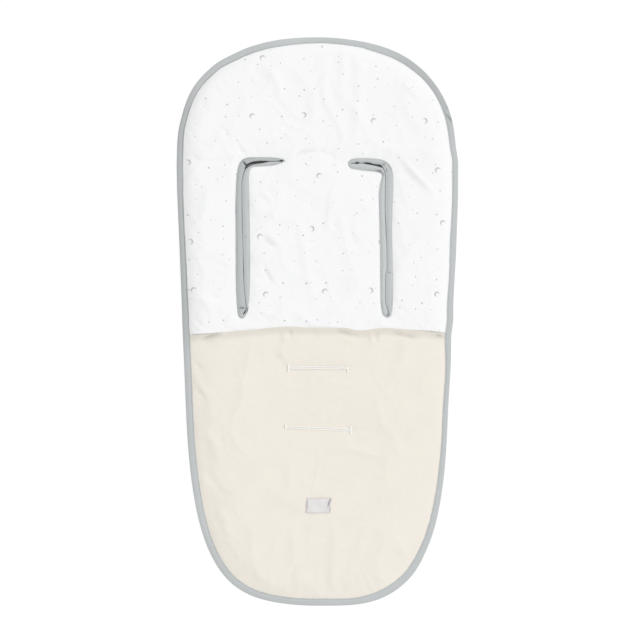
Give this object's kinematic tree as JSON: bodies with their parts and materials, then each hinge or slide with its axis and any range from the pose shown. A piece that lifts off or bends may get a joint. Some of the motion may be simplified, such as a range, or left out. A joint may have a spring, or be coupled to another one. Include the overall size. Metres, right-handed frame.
{
  "type": "stroller seat liner",
  "caption": "Long padded textile liner with round ends, bound edge, hooked harness slots and crotch strap slots, folding at the backrest seam and over the seat's front edge.",
  "frame": {"origin": "centre of the liner's outline, on the surface that it lies on", "axes": "+Y towards the head end, +X towards the right edge seen from above, +Z out of the child's side"},
  "size_m": [0.42, 0.85, 0.0129],
  "materials": {
    "printed_cotton": "matt white cotton with a small grey print",
    "ecru_cotton": "matt unbleached cotton",
    "wadding": "soft white polyester wadding",
    "back_cotton": "matt plain cotton",
    "grey_tape": "matt grey bias tape",
    "ivory_thread": "satin stitching",
    "label_ribbon": "satin ribbon"
  },
  "bodies": {
    "seat_section": {"front_seat_panel": "ecru_cotton", "wadding_seat": "wadding", "back_seat_panel": "back_cotton", "edge_binding_seat_left": "grey_tape", "edge_binding_seat_right": "grey_tape", "crotch_slot_rear_edging": "ivory_thread", "crotch_slot_front_edging": "ivory_thread"},
    "back_section": {"front_upper_panel": "printed_cotton", "wadding_upper": "wadding", "back_upper_panel": "back_cotton", "edge_binding_upper": "grey_tape", "left_slot_binding": "grey_tape", "right_slot_binding": "grey_tape"},
    "leg_section": {"front_leg_panel": "ecru_cotton", "wadding_leg": "wadding", "back_leg_panel": "back_cotton", "edge_binding_leg": "grey_tape", "label": "label_ribbon"}
  },
  "joints": [
    {"name": "back_fold", "type": "hinge", "parent": "seat_section", "child": "back_section", "pos_m": [0, -0.008, 0.0121], "axis": [1, 0, 0], "range_deg": [0, 165]},
    {"name": "leg_fold", "type": "hinge", "parent": "seat_section", "child": "leg_section", "pos_m": [0, -0.23, 0], "axis": [1, 0, 0], "range_deg": [0, 90]}
  ]
}
